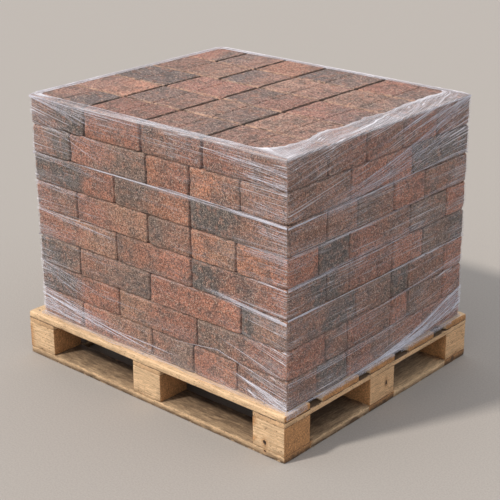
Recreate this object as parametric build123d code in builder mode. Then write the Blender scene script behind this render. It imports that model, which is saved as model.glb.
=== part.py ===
"""A loaded pallet: eight courses of concrete block pavers, held by stretch film, on a timber pallet.

The pallet is a four-way block pallet with a perimeter base. Its deck boards and long base boards run
along X, and its stringer boards and cross base boards along Y. The pavers come in mixed lengths of one
width. Each course is one node of separate pavers, and each piece of the pallet is a node of its own.

Units are millimetres. The origin is the middle of the pallet's footprint on the ground, with +Z up,
X along the pallet's length and Y along its width. The front is at -Y and the right at +X.
"""

import os

from build123d import *

# Pallet
pallet_length = 1200
pallet_width = 1000
deck_thickness = 22
stringer_thickness = 18
block_height = 98
base_thickness = 24
block_length = 130  # along X, and the width of the stringers and cross base boards above and below
edge_row_width = 125  # along Y: blocks, deck board and base board of the front and back rows
middle_row_width = 135
wide_deck_width = 185  # the deck board between the front and middle rows
narrow_deck_width = 150  # the deck board between the middle and back rows
timber_ease = 1.5  # sawn edges, slightly worn

# Pavers
paver_width = 185
joint_gap = 4
course_height = 100
arris = 5  # bevel round the wearing face
corner_bevel = 4  # bevel down each upright corner
stack_offset = 20  # the load stands this far to the right of the pallet's middle

# Stretch film
film_thickness = 0.8
film_gap = 0.4
front_fold = 28  # how far the film lies over the top course, from each side of the load
right_fold = 92
back_fold = 20
left_fold = 22
near_corner_cut = 50  # the fold's slanting edge across the front right corner
fold_corner_cut = 14
rope_height = 5  # a roped edge, where a turn of film ends in a gathered bead
rope_depth = 3
roped_courses_shares = (3, 6)  # each bead lies in the joint above this course

# Courses from the bottom up. Every number is a paver's length, or its span along Y, in pitches.
# front and back run along X, and right and left along Y from the front. A paver at a front corner is
# in both front and right, or in both front and left. inner holds the rows behind the front one, from
# front to back, between the end columns, or from end to end where the course has no such columns.
course_shares = (
    {
        "front": (1.1, 1.8, 1, 1, 1.1),
        "right": (0.8, 0.8, 1.2, 1, 1.2),
        "left": (1, 2, 2),
        "inner": ((2, 2), (1, 2, 1), (2, 2), (1, 2, 1)),
    },
    {
        "front": (2.1, 1.9, 2),
        "right": (1, 0.6, 1.2, 0.5, 1.1, 0.6),
        "left": (1, 1.5, 1.5, 1),
        "inner": ((1, 2, 1), (2, 2), (1, 2, 1), (2, 2)),
    },
    {
        "front": (1.1, 1.8, 2.1, 1),
        "right": (1.8, 1, 0.5, 1.1, 0.6),
        "left": (1, 1.2, 1.8, 1),
        "inner": ((2, 2), (1, 2, 1), (2, 2), (1.5, 1, 1.5)),
    },
    {
        "front": (2.1, 1.8, 2.1),
        "right": (1, 0.6, 1.2, 0.9, 1.3),
        "left": (1, 2, 2),
        "inner": ((1, 2, 1), (2, 2), (1, 2, 1), (2, 2)),
    },
    {
        "front": (1.1, 1.8, 1, 1, 1.1),
        "right": (0.8, 0.8, 1.7, 1.1, 0.6),
        "left": (1, 1.5, 1.5, 1),
        "inner": ((2, 2), (1, 2, 1), (2, 2), (1, 2, 1)),
    },
    {
        "front": (2.1, 1.8, 2.1),
        "right": (1, 0.8, 1, 0.9, 1.3),
        "left": (1, 1.2, 1.8, 1),
        "inner": ((1, 2, 1), (2, 2), (1, 2, 1), (2, 2)),
    },
    {
        "front": (1, 1.9, 1, 1.1, 1),
        "right": (1.6, 1.7, 1.7),
        "left": (1.5, 1.5, 2),
        "inner": ((2, 2), (1, 2, 1), (2, 2), (1, 1, 2)),
    },
    {
        "front": (1.4, 1.4, 1.4, 1.8),
        "right": (),
        "left": (),
        "inner": ((1.4, 1.4, 1.4, 1.8), (1.4, 1.4, 1.4, 1.8), (1.8, 1, 1.4, 1.8), (0.8, 1, 1, 1.4, 1.8)),
    },
)

# Levels and the load's outline
block_base = base_thickness
stringer_base = block_base + block_height
deck_base = stringer_base + stringer_thickness
deck_top = deck_base + deck_thickness
load_top = deck_top + len(course_shares) * course_height
pitch = paver_width + joint_gap
columns = sum(course_shares[0]["front"])
rows = sum(course_shares[0]["right"])
load_length = columns * pitch - joint_gap
load_width = rows * pitch - joint_gap
load_left = stack_offset - load_length / 2
load_front = -load_width / 2


def save(part, name):
    """Labels one finished piece and writes it."""
    part.label = name
    export_step(part, f"parts/{name}.step")


def board(name, size_x, size_y, thickness, centre_x, centre_y, bottom):
    """One sawn timber piece with eased edges."""
    with BuildPart() as timber:
        with BuildSketch(Plane.XY.offset(bottom)):
            with Locations((centre_x, centre_y)):
                Rectangle(size_x, size_y)
        extrude(amount=thickness)
        chamfer(timber.edges(), length=timber_ease)
    save(timber.part, name)


def block_rows():
    """The pallet's rows of blocks, from front to back: name, centre along Y, width."""
    edge_centre = (pallet_width - edge_row_width) / 2
    return (
        ("front", -edge_centre, edge_row_width),
        ("middle", 0, middle_row_width),
        ("back", edge_centre, edge_row_width),
    )


def block_columns():
    """The pallet's columns of blocks, from left to right: name and centre along X."""
    end_centre = (pallet_length - block_length) / 2
    return (("left", -end_centre), ("middle", 0), ("right", end_centre))


def pallet_deck():
    """Five deck boards along X: one over each row of blocks, and one between each pair of rows."""
    row_list = block_rows()
    places = [(f"{name}_deck_board", y, width) for name, y, width in row_list]
    fillers = (("front_inner_deck_board", wide_deck_width), ("back_inner_deck_board", narrow_deck_width))
    for (name, width), (before, after) in zip(fillers, zip(row_list, row_list[1:])):
        gap_front = before[1] + before[2] / 2
        gap_back = after[1] - after[2] / 2
        places.append((name, (gap_front + gap_back) / 2, width))
    for name, y, width in places:
        board(name, pallet_length, width, deck_thickness, 0, y, deck_base)


def pallet_frame():
    """Three stringer boards along Y on nine blocks."""
    for column, x in block_columns():
        board(f"{column}_stringer_board", block_length, pallet_width, stringer_thickness, x, 0, stringer_base)
        for row, y, width in block_rows():
            board(f"{row}_{column}_block", block_length, width, block_height, x, y, block_base)


def pallet_base():
    """Three long base boards, and four cross boards between them that close the perimeter."""
    row_list = block_rows()
    for row, y, width in row_list:
        board(f"{row}_base_board", pallet_length, width, base_thickness, 0, y, 0)
    for before, after in zip(row_list, row_list[1:]):
        start = before[1] + before[2] / 2
        end = after[1] - after[2] / 2
        side = "front" if before[0] == "front" else "back"
        for column, x in (block_columns()[0], block_columns()[-1]):
            name = f"{side}_{column}_cross_board"
            board(name, block_length, end - start, base_thickness, x, (start + end) / 2, 0)


def course_tiles(course):
    """The pavers of one course as (x, y, span_x, span_y), in pitches from the load's front left corner."""
    tiles = []
    depths = [1] * len(course["front"])
    if course["left"]:
        depths[0] = course["left"][0]
    if course["right"]:
        depths[-1] = course["right"][0]
    x = 0
    for span, depth in zip(course["front"], depths):
        tiles.append((x, 0, span, depth))
        x += span
    for column_x, column in ((0, course["left"]), (columns - 1, course["right"])):
        for n, span in enumerate(column[1:], start=1):
            tiles.append((column_x, sum(column[:n]), 1, span))
    for n, row in enumerate(course["inner"], start=1):
        x = 1 if course["left"] else 0
        for span in row:
            tiles.append((x, n, span, 1))
            x += span
    return tiles


def paver_course(number, course):
    """One course of pavers, each bevelled round its wearing face and down its corners."""
    bottom = deck_top + (number - 1) * course_height
    with BuildPart() as pavers:
        with BuildSketch(Plane.XY.offset(bottom)) as outlines:
            for x, y, span_x, span_y in course_tiles(course):
                size_x = span_x * pitch - joint_gap
                size_y = span_y * pitch - joint_gap
                with Locations((load_left + x * pitch + size_x / 2, load_front + y * pitch + size_y / 2)):
                    Rectangle(size_x, size_y)
            chamfer(outlines.vertices(), length=corner_bevel)
        extrude(amount=course_height)
        wearing_faces = pavers.faces().filter_by(Axis.Z).group_by(Axis.Z)[-1]
        chamfer(wearing_faces.edges(), length=arris)
    save(pavers.part, f"paver_course_{number}")


def load_outline(outset):
    """A rectangle round the load, bevelled like the pavers at its corners."""
    with BuildSketch() as outline:
        with Locations((stack_offset, 0)):
            Rectangle(load_length + 2 * outset, load_width + 2 * outset)
        chamfer(outline.vertices(), length=corner_bevel)
    return outline.sketch


def fold_opening():
    """The opening that the fold leaves over the top course, cut across at its corners."""
    middle_x = stack_offset + (left_fold - right_fold) / 2
    middle_y = (front_fold - back_fold) / 2
    with BuildSketch() as opening:
        with Locations((middle_x, middle_y)):
            Rectangle(load_length - left_fold - right_fold, load_width - front_fold - back_fold)
        chamfer(opening.vertices().group_by(Axis.X)[0], length=fold_corner_cut)
        chamfer(opening.vertices().group_by(Axis.X)[-1].sort_by(Axis.Y)[-1], length=fold_corner_cut)
        chamfer(opening.vertices().group_by(Axis.X)[-1].sort_by(Axis.Y)[0], length=near_corner_cut)
    return opening.sketch


def stretch_film():
    """The film round the load: four walls from deck to top, a fold over the top, and two roped edges."""
    outset = film_gap + film_thickness
    fold_base = load_top + film_gap
    inside = load_outline(film_gap)
    outside = load_outline(outset)
    roped = load_outline(outset + rope_depth)
    opening = fold_opening()
    with BuildPart() as film:
        with BuildSketch(Plane.XY.offset(deck_top)):
            add(outside)
            add(inside, mode=Mode.SUBTRACT)
        extrude(amount=fold_base + film_thickness - deck_top)
        with BuildSketch(Plane.XY.offset(fold_base)):
            add(outside)
            add(opening, mode=Mode.SUBTRACT)
        extrude(amount=film_thickness)
        for course in roped_courses_shares:
            middle = deck_top + course * course_height
            with BuildSketch(Plane.XY.offset(middle - rope_height / 2)):
                add(roped)
                add(inside, mode=Mode.SUBTRACT)
            extrude(amount=rope_height)
    save(film.part, "stretch_film")


os.makedirs("parts", exist_ok=True)
pallet_base()
pallet_frame()
pallet_deck()
for course_number, course_plan in enumerate(course_shares, start=1):
    paver_course(course_number, course_plan)
stretch_film()
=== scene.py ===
"""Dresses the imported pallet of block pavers: worn concrete, sawn timber and wrinkled stretch film.

Everything is in metres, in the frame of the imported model: +Z up, the front at -Y and the right at +X.
"""

import math

import bpy
import numpy as np
from mathutils import Matrix, Vector, noise


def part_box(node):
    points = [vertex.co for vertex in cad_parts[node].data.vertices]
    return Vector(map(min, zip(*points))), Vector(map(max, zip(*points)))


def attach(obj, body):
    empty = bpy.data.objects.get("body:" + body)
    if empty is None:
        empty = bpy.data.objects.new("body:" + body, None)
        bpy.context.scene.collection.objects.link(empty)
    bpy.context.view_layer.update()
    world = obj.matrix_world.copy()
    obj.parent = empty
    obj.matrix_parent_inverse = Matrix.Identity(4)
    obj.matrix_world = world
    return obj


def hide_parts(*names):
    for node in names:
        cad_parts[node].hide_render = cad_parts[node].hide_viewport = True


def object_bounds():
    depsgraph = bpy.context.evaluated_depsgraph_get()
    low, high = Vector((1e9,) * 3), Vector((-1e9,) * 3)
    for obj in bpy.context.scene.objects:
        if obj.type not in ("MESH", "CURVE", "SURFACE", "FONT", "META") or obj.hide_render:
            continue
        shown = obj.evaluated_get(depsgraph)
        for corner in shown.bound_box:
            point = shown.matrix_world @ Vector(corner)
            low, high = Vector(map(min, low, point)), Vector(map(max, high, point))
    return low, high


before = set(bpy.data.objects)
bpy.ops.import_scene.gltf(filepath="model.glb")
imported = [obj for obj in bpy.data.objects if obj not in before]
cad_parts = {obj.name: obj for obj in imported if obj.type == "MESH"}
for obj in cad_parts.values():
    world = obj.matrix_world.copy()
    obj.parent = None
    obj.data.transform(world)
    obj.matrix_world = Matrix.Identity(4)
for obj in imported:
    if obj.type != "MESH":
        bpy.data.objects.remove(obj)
cad_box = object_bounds()
scene = bpy.context.scene

MM = 0.001

# Camera and light, as in the photograph
camera_azimuth = 41.83
camera_elevation = 21.53
camera_roll = -0.47
camera_distance = 4.150
camera_target = Vector((0.180, -0.180, 0.5))
camera_lens = 90.96
sensor_width = 36
to_sun = Vector((-0.40, -0.917, 1.146))
sun_strength = 2.5
sun_softness = 5
sun_colour = (1.0, 0.96, 0.90)
sky_strength_low = 0.50  # at the horizon
sky_strength_high = 1.05  # overhead
sky_colour = (0.92, 0.955, 1.0, 1)
floor_colours = ((0.352, 0.316, 0.285, 1), (0.396, 0.356, 0.323, 1))
floor_reach = 40

# The load, read from the frame
course_names = sorted(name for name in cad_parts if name.startswith("paver_course_"))
course_boxes = [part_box(name) for name in course_names]
load_low = Vector(course_boxes[0][0])
load_high = Vector(course_boxes[-1][1])
deck_top = load_low.z
course_height = (load_high.z - load_low.z) / len(course_names)

# Pavers
arris_radius = 6.5 * MM
top_arris_radius = 7 * MM
joint_gap = 4 * MM
top_joint_gain = np.array((1.9, 0.9, 0)) * MM  # the top course's open joints are wider by twice this
corner_wear = 1.6  # how much rounder an upright corner is than an arris
face_cell = 12 * MM
hidden_cell = 90 * MM
paver_chip = 9 * MM
paver_wave = 0.4 * MM
groove_half_width = 5 * MM
groove_depth = 4 * MM
groove_shares = {1.4: 0.5, 1.8: 0.44}  # a long top paver's dummy joint, as a share of its length
groove_match = 0.15  # how near a paver's length has to be to one of those

# Tones of the blend, as linear colours
tones = {
    "red": (0.335, 0.138, 0.086),
    "red_brown": (0.285, 0.122, 0.080),
    "orange": (0.370, 0.160, 0.092),
    "brown": (0.245, 0.124, 0.083),
    "tan": (0.305, 0.162, 0.104),
    "grey_brown": (0.182, 0.116, 0.087),
    "charcoal": (0.108, 0.086, 0.073),
}
palette = ("brown", "red_brown", "red", "grey_brown", "charcoal", "orange", "tan")
palette_odds = (0.27, 0.24, 0.16, 0.12, 0.09, 0.06, 0.06)
worn_tone = np.array((0.285, 0.160, 0.120))  # what the top course's wearing faces tend to
worn_share = 0.76
# a painted sheen of the sky, which makes the top faces' tone paler and bluer
wearing_sky_sheen = np.array((1.10, 1.19, 1.37))

# Each paver's tone, or its tones at its start and end, from the bottom course up. Front pavers run left
# to right, and right-hand ones front to back. The top's rows run left to right, from the front row back.
front_tones = (
    ("brown", "red tan", "brown grey_brown", "red orange", "brown"),
    ("charcoal red", "tan red_brown", "grey_brown red_brown"),
    ("charcoal grey_brown", "brown grey_brown", "red_brown red", "charcoal tan"),
    ("red_brown tan", "brown red", "charcoal red"),
    ("red_brown brown", "red_brown tan", "grey_brown brown", "orange tan", "orange red"),
    ("charcoal red", "grey_brown orange", "charcoal brown"),
    ("brown charcoal", "red_brown grey_brown", "orange red", "orange brown", "brown"),
    ("brown charcoal", "red", "brown red_brown", "red_brown brown"),
)
right_tones = (
    ("brown", "charcoal", "red_brown brown", "brown red_brown", "red_brown"),
    ("red red_brown", "brown", "red_brown brown", "red", "grey_brown brown", "red"),
    ("brown charcoal", "brown grey_brown", "charcoal", "brown", "red"),
    ("brown charcoal", "charcoal brown", "red_brown", "red", "grey_brown charcoal"),
    ("red", "charcoal", "red_brown brown", "grey_brown", "red red_brown"),
    ("brown", "brown", "grey_brown brown", "red red_brown", "brown"),
    ("brown", "red_brown red", "charcoal"),
    ("brown", "brown red_brown", "red_brown brown", "red_brown red", "red_brown brown"),
)
top_tones = (
    ("brown charcoal", "red_brown", "brown grey_brown", "brown"),
    ("brown orange", "grey_brown brown", "tan grey_brown", "tan brown"),
    ("charcoal", "red_brown", "grey_brown red_brown", "red_brown charcoal"),
    ("brown tan", "charcoal brown", "tan brown", "tan grey_brown"),
    ("red grey_brown", "grey_brown brown", "orange", "charcoal grey_brown", "red grey_brown"),
)

# Colours in the concrete, as linear values
cloud_colour = (0.090, 0.072, 0.064, 1)
warm_colour = (0.38, 0.170, 0.108, 1)
sand_colour = (0.60, 0.45, 0.35, 1)
# painted shadow in the pores
pore_shadow_colour = (0.018, 0.013, 0.011, 1)
# partly dust, partly a painted highlight on the arrises
dust_and_highlight_colour = (0.52, 0.36, 0.27, 1)
# painted highlight on the top pavers' bevels that face the sun
lit_bevel_colour = (0.60, 0.37, 0.26, 1)
# painted shade on the top pavers' bevels away from the sun and in their grooves
bevel_and_groove_shade_colour = (0.040, 0.028, 0.022, 1)
# painted shade in the joints
joint_shade_colour = (0.026, 0.018, 0.014, 1)

# Colours in the timber and its nails, as linear values
early_wood = (0.820, 0.560, 0.330, 1)
late_wood = (0.750, 0.490, 0.270, 1)
knot_colour = (0.105, 0.045, 0.018, 1)
end_grain_tint = (0.69, 0.485, 0.31, 1)
# soil, and painted shade where the faces lie in shadow
soil_and_shade_colour = (0.084, 0.050, 0.029, 1)
speck_colour = (0.17, 0.085, 0.035, 1)
check_colour = (0.13, 0.065, 0.030, 1)
knot_ring_colour = (0.40, 0.190, 0.075, 1)
split_colour = (0.040, 0.020, 0.010, 1)
# painted shade in the seams
seam_shade_colour = (0.100, 0.053, 0.028, 1)
steel_colour = (0.30, 0.28, 0.26, 1)
rust_colour = (0.13, 0.06, 0.03, 1)

# The film's white lines, partly its whitened folds and partly painted glints on its ridges: streaks as (scale
# along, across and in depth, where they fade in, strength), and creases as (scale, width, strength)
# the film's whitish colour, tinted lavender as a painted reflection of the sky
film_and_sky_sheen_colour = (0.89, 0.84, 0.89, 1)
# tinted bluish as a painted reflection of the sky
gather_and_sky_sheen_colour = (0.88, 0.86, 0.94, 1)
least_veil = 0.012
most_opaque = 0.92
streaks_and_glints = (
    ((1.4, 70, 1), 3, 0.62, 0.76, 0.22),
    ((1.3, 400, 1), 2, 0.47, 0.62, 0.15),
    ((1.1, 150, 1), 2, 0.652, 0.682, 0.80),
    ((1.8, 300, 1), 2, 0.640, 0.665, 1.00),
    ((2.4, 480, 1), 2, 0.622, 0.652, 1.10),
)
crease_and_glint_lines = (((0.7, 44, 1), 0.006, 0.70), ((1.5, 90, 1), 0.009, 0.75), ((3.0, 180, 1), 0.012, 0.65))


class Graph:
    """A material's node tree, with short calls for the nodes used here."""

    def __init__(self, name):
        self.material = bpy.data.materials.new(name)
        self.material.use_nodes = True
        self.tree = self.material.node_tree
        self.tree.nodes.clear()
        self.shader = self.tree.nodes.new("ShaderNodeBsdfPrincipled")
        output = self.tree.nodes.new("ShaderNodeOutputMaterial")
        self.tree.links.new(self.shader.outputs[0], output.inputs["Surface"])

    def put(self, socket, value):
        """Links a socket, or sets it to a number or colour."""
        if isinstance(value, bpy.types.NodeSocket):
            self.tree.links.new(value, socket)
        else:
            socket.default_value = value

    def node(self, kind, inputs=(), **settings):
        """A node with these inputs and settings."""
        made = self.tree.nodes.new("ShaderNode" + kind)
        for key, value in settings.items():
            setattr(made, key, value)
        for key, value in dict(inputs).items():
            self.put(made.inputs[key], value)
        return made

    def attribute(self, name, output="Vector"):
        return self.node("Attribute", attribute_name=name).outputs[output]

    def scaled(self, vector, scale):
        return self.node("Mapping", {"Vector": vector, "Scale": scale}).outputs[0]

    def noise(self, vector, scale, detail=3.0, roughness=0.55):
        """Noise at one scale, or at a scale for each axis."""
        if isinstance(scale, tuple):
            vector, scale = self.scaled(vector, scale), 1.0
        values = {"Vector": vector, "Scale": scale, "Detail": detail, "Roughness": roughness}
        return self.node("TexNoise", values).outputs["Fac"]

    def math(self, operation, a, b=0.0):
        return self.node("Math", {0: a, 1: b}, operation=operation).outputs[0]

    def plus(self, a, b):
        return self.math("ADD", a, b)

    def minus(self, a, b):
        return self.math("SUBTRACT", a, b)

    def times(self, a, b):
        return self.math("MULTIPLY", a, b)

    def least(self, a, b):
        return self.math("MINIMUM", a, b)

    def from_middle(self, value):
        """How far noise is from its middle value, which is 0 along thin lines."""
        return self.math("ABSOLUTE", self.minus(value, 0.5))

    def step(self, value, low, high, to_low=0.0, to_high=1.0):
        """A smooth step from to_low at low to to_high at high."""
        values = {"Value": value, "From Min": low, "From Max": high, "To Min": to_low, "To Max": to_high}
        return self.node("MapRange", values, interpolation_type="SMOOTHSTEP").outputs[0]

    def mix(self, factor, a, b, blend="MIX"):
        return self.node("Mix", {0: factor, 6: a, 7: b}, data_type="RGBA", blend_type=blend).outputs[2]

    def tint(self, colour, share, amount, towards):
        """The colour, taken this far towards another where the share is 1."""
        return self.mix(self.times(share, amount), colour, towards)

    def shade(self, colour, factor):
        return self.mix(1.0, colour, factor, "MULTIPLY")

    def bump(self, height, strength, distance, normal=None):
        values = {"Height": height, "Strength": strength, "Distance": distance}
        if normal is not None:
            values["Normal"] = normal
        return self.node("Bump", values).outputs[0]

    def axes(self, vector):
        return self.node("SeparateXYZ", {"Vector": vector}).outputs

    def channels(self, colour):
        return self.node("SeparateColor", {"Color": colour}).outputs

    def edge_distance(self):
        """How far the surface is from the nearest edge of its own block, in metres."""
        low, high = self.axes(self.attribute("from_low")), self.axes(self.attribute("from_high"))
        a, b, c = (self.least(low[n], high[n]) for n in range(3))
        rest = self.least(self.math("MAXIMUM", a, b), c)
        return self.math("MAXIMUM", self.least(a, b), rest)

    def finish(self, **values):
        """Sets the shader's inputs by their names in lower case, and gives the material."""
        for key, value in values.items():
            self.put(self.shader.inputs[key.replace("_", " ").title()], value)
        return self.material


def concrete_grains(g, place, wearing, colour):
    """Grains of mixed brightness, partly their own colour and partly painted sunlit grains and shade, with
    pale sand and pores painted dark as shadowed pits among them: the colour and the pores.
    """
    grain_scale = g.step(wearing, 0.0, 1.0, 340.0, 280.0)
    grains = g.node("TexVoronoi", {"Vector": place, "Scale": grain_scale, "Randomness": 1.0})
    shares = g.channels(grains.outputs["Color"])
    darkest = g.step(wearing, 0.0, 1.0, 0.43, 0.54)
    brightest = g.step(wearing, 0.0, 1.0, 1.55, 1.42)
    # the spread of brightness is partly the aggregate's colour and partly painted light and shade on the
    # relief
    colour = g.shade(colour, g.step(shares[0], 0.0, 1.0, darkest, brightest))
    colour = g.tint(colour, g.step(shares[1], 0.90, 0.94), 0.62, sand_colour)
    # the pores, painted dark as the shadow in their pits
    pore_shadows = g.step(shares[2], 0.12, 0.08)
    return g.tint(colour, pore_shadows, 0.66, pore_shadow_colour), pore_shadows


def concrete_bevel_light(g, place, wearing, colour):
    """Painted highlight on the top pavers' bevels that face the sun, painted shade on those that face away
    from it, and painted shade in their dummy grooves.
    """
    low, high = g.axes(g.attribute("from_low")), g.axes(g.attribute("from_high"))
    wobble = g.times(g.noise(place, 60, 4, 0.7), 16 * MM)
    broken = g.step(g.noise(place, 30, 3, 0.7), 0.40, 0.60, 0.12, 1.0)
    # painted highlight on the bevels that face the sun
    rubbed_and_lit = g.plus(g.least(g.plus(low[0], 3 * MM), low[1]), wobble)
    rubbed_and_lit = g.times(g.step(rubbed_and_lit, 13.8 * MM, 11.6 * MM), g.times(wearing, broken))
    colour = g.tint(colour, rubbed_and_lit, 0.78, lit_bevel_colour)
    # painted shade in the dummy grooves
    groove = g.step(g.attribute("groove", "Fac"), 0.30, 0.75)
    colour = g.tint(colour, g.times(groove, broken), 0.62, bevel_and_groove_shade_colour)
    # painted shade on the bevels that face away from the sun
    shaded_bevels = g.plus(g.least(high[0], high[1]), wobble)
    shaded_bevels = g.times(g.step(shaded_bevels, 14.5 * MM, 10.5 * MM), wearing)
    return g.tint(colour, shaded_bevels, 0.72, bevel_and_groove_shade_colour)


def concrete_material():
    """Pressed concrete: the blend's tone, broken up by clouds, sand and pores painted dark as shadowed pits,
    with dust and a painted highlight near its arrises, painted shade at its edges, and painted light and
    shade on the top pavers' bevels.
    """
    g = Graph("blended_concrete")
    place = g.attribute("place")
    wearing = g.attribute("wearing", "Fac")
    clouds = g.step(g.noise(place, 20, 3, 0.62), 0.44, 0.66)
    colour = g.tint(g.attribute("tone", "Color"), clouds, 0.55, cloud_colour)
    warm = g.step(g.noise(place, 42, 3, 0.62), 0.48, 0.68)
    colour = g.tint(colour, warm, 0.48, warm_colour)
    colour = g.shade(colour, g.step(g.noise(place, 110, 3, 0.60), 0.30, 0.70, 0.80, 1.22))
    colour, pore_shadows = concrete_grains(g, place, wearing, colour)
    ragged = g.plus(g.edge_distance(), g.times(g.noise(place, 90), 6 * MM))
    # a pale band in from each edge: partly dust, partly a painted highlight along the arrises
    dust_and_highlight = g.times(g.step(ragged, 4 * MM, 6 * MM), g.step(ragged, 13 * MM, 7 * MM))
    colour = g.tint(colour, dust_and_highlight, 0.14, dust_and_highlight_colour)
    colour = concrete_bevel_light(g, place, wearing, colour)
    # painted shade along every paver's edges, darkening the joints
    colour = g.mix(g.step(ragged, 6.6 * MM, 4.2 * MM, 0.0, 0.85), colour, joint_shade_colour)
    normal = g.bump(g.noise(place, 330, 5, 0.78), 0.7, 1.5 * MM)
    normal = g.bump(g.times(pore_shadows, -1.0), 0.5, 1.2 * MM, normal)
    return g.finish(base_color=colour, roughness=0.88, normal=normal)


def timber_figure(g, grain):
    """Growth rings round a pith, fibres and knots: the colour, and what each adds to the relief."""
    rings = g.node("TexWave", {
        "Vector": g.scaled(grain, (0.12, 1, 1)), "Scale": 62.0, "Distortion": 1.6, "Detail": 2.0,
        "Detail Scale": 0.25, "Detail Roughness": 0.55,
    }, wave_type="RINGS", rings_direction="X", wave_profile="SAW").outputs["Fac"]
    late = g.step(rings, 0.45, 0.95)
    fibres = g.noise(grain, (24, 300, 300), 4, 0.8)
    colour = g.shade(g.mix(late, early_wood, late_wood), g.step(fibres, 0.30, 0.70, 0.74, 1.20))
    patches = g.noise(grain, (4, 13, 13), 3, 0.6)
    colour = g.shade(colour, g.step(patches, 0.3, 0.7, 0.90, 1.07))
    cells = g.node("TexVoronoi", {"Vector": g.scaled(grain, (5.5, 13, 13)), "Scale": 1.0, "Randomness": 1.0})
    chosen = g.step(g.channels(cells.outputs["Color"])[0], 0.62, 0.66)
    knots = g.times(g.step(cells.outputs["Distance"], 0.17, 0.11), chosen)
    return g.tint(colour, knots, 0.85, knot_colour), late, fibres, knots


def timber_wear_and_shade(g, grain, colour):
    """The tint and flecks of end grain, soil and painted shade that are rubbed off at the edges, specks and
    checks.
    """
    # soil, together with the painted shade carried in the same attribute
    smears_and_shade = g.plus(g.noise(grain, (20, 95, 95), 5, 0.80), g.times(g.attribute("soil_and_shade", "Fac"), 0.55))
    rubbed_and_lit = g.plus(g.edge_distance(), g.times(g.noise(grain, 38, 4, 0.7), 30 * MM))
    soiled_and_shaded = g.times(g.step(smears_and_shade, 0.50, 1.32, 0.0, 0.97), g.step(rubbed_and_lit, 13 * MM, 18 * MM, 0.25, 1.0))
    ends = g.attribute("end_grain", "Fac")
    colour = g.mix(g.times(ends, 0.94), colour, end_grain_tint, "MULTIPLY")
    flecks = g.noise(grain, (190, 190, 190), 4, 0.85)
    colour = g.mix(ends, colour, g.step(flecks, 0.30, 0.70, 0.52, 1.38), "MULTIPLY")
    colour = g.mix(soiled_and_shaded, colour, soil_and_shade_colour)
    specks = g.step(g.noise(grain, (95, 230, 230), 2, 0.6), 0.62, 0.67)
    colour = g.tint(colour, specks, 0.72, speck_colour)
    checks = g.from_middle(g.noise(grain, (2.4, 75, 75), 2, 0.6))
    return g.mix(g.step(checks, 0.012, 0.002, 0.0, 0.45), colour, check_colour)


def timber_material():
    """Sawn softwood, with split knots, painted shade in the seams between the pieces, and the steel of the
    nail heads.
    """
    g = Graph("sawn_softwood")
    grain = g.attribute("grain")
    colour, late, fibres, knots = timber_figure(g, grain)
    colour = timber_wear_and_shade(g, grain, colour)
    mark = g.attribute("mark")
    wobble = g.times(g.noise(mark, 0.9, 4, 0.75), 2.4)
    reach = g.plus(g.node("VectorMath", {0: mark}, operation="LENGTH").outputs["Value"], wobble)
    colour = g.mix(g.step(reach, 3.6, 2.0, 0.0, 0.55), colour, knot_ring_colour)
    split = g.step(reach, 2.15, 1.75)
    colour = g.mix(split, colour, split_colour)
    # painted shade along the edges of the pieces below the deck, where they meet
    edge = g.plus(g.edge_distance(), g.times(fibres, 4 * MM))
    seam_shade = g.times(g.step(edge, 4.2 * MM, 2.4 * MM), g.attribute("shaded_seams", "Fac"))
    colour = g.tint(colour, seam_shade, 0.42, seam_shade_colour)
    height = g.plus(g.times(fibres, 0.8), g.times(late, 0.25))
    height = g.minus(height, g.plus(knots, g.times(split, 2.0)))
    nail = g.attribute("nail", "Fac")
    place = g.node("TexCoord").outputs["Object"]
    steel = g.mix(g.step(g.noise(place, 300), 0.42, 0.62), steel_colour, rust_colour)
    return g.finish(
        base_color=g.mix(nail, colour, steel), roughness=0.78, metallic=g.times(nail, 0.7),
        normal=g.bump(height, 0.8, 1.4 * MM),
    )


def film_material():
    """Clear stretch film: nearly invisible where it lies flat, white along its folds and gathers, with
    painted glints along its lines and a painted sheen in its haze.
    """
    g = Graph("stretch_film")
    flow = g.attribute("flow")
    lines = 0.0
    for scale, detail, low, high, strength in streaks_and_glints:
        # white lines, partly the film's whitened folds and partly painted glints of the sun on its ridges
        lines = g.plus(lines, g.step(g.noise(flow, scale, detail, 0.6), low, high, 0.0, strength))
    for scale, width, strength in crease_and_glint_lines:
        apart = g.from_middle(g.noise(flow, scale, 1, 0.5))
        lines = g.plus(lines, g.step(apart, width, 0.0, 0.0, strength))
    patches = g.noise(flow, (3.2, 15, 1))
    creases_and_glints = g.times(g.attribute("creases_and_glints", "Fac"), g.step(patches, 0.36, 0.62, 0.25, 1.1))
    # the veil is partly the film's own milkiness and partly a painted sheen
    veil = g.times(g.attribute("haze_and_sheen", "Fac"), g.step(patches, 0.30, 0.70, 0.6, 1.3))
    alpha = g.least(g.plus(g.plus(veil, least_veil), g.times(lines, creases_and_glints)), most_opaque)
    swells = g.noise(flow, streaks_and_glints[0][0], 3, 0.6)
    normal = g.bump(lines, 0.5, 1.5 * MM, g.bump(swells, 0.8, 4 * MM))
    return g.finish(base_color=film_and_sky_sheen_colour, roughness=0.24, normal=normal, alpha=alpha)


def gather_material():
    """Film drawn together into ropes and sharp folds, so that it looks white, tinted as a painted reflection
    of the sky.
    """
    g = Graph("gathered_film")
    breaks = g.noise(g.attribute("flow"), (16, 60, 1), 3, 0.6)
    alpha = g.step(breaks, 0.30, 0.62, 0.16, 0.78)
    return g.finish(base_color=gather_and_sky_sheen_colour, roughness=0.22, alpha=alpha)


def spots(x, y=0.0, z=0.0):
    """Points from their coordinates, where a single number stands for all of them."""
    return np.stack(np.broadcast_arrays(x, y, z), axis=-1).reshape(-1, 3)


def noise_at(points, frequency, seed=0.0):
    """Smooth noise from about -1 to 1 at each point."""
    shifted = points * frequency + seed
    return np.array([noise.noise(p) for p in shifted.tolist()])


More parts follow.
